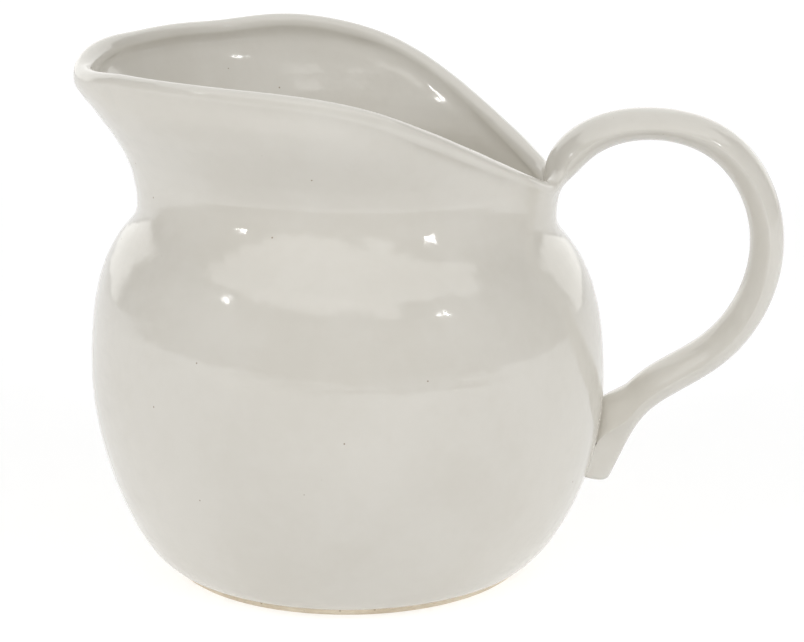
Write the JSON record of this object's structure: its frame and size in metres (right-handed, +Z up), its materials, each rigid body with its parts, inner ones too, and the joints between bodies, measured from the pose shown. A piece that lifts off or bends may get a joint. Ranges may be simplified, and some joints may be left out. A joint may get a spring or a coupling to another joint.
{
  "type": "pitcher",
  "caption": "Round-bellied ceramic table pitcher with a flared neck drawn out into a spout, a rolled rim that falls to the back, and a pulled strap handle.",
  "frame": {"origin": "centre of the foot, on the surface that the pitcher stands on", "axes": "+Z up, spout towards -X, handle towards +X, XZ is the plane of symmetry"},
  "size_m": [0.2245, 0.1644, 0.1665],
  "materials": {
    "glaze": "glossy ivory glaze over stoneware",
    "bare_clay": "unglazed fired clay, dry and slightly sandy"
  },
  "bodies": {
    "root": {"foot_ring": "bare_clay", "base_disc": "glaze", "belly_wall": "glaze", "collar": "glaze", "rim_bead": "glaze", "handle": "glaze", "upper_luting": "glaze", "lower_luting": "glaze"}
  },
  "joints": []
}
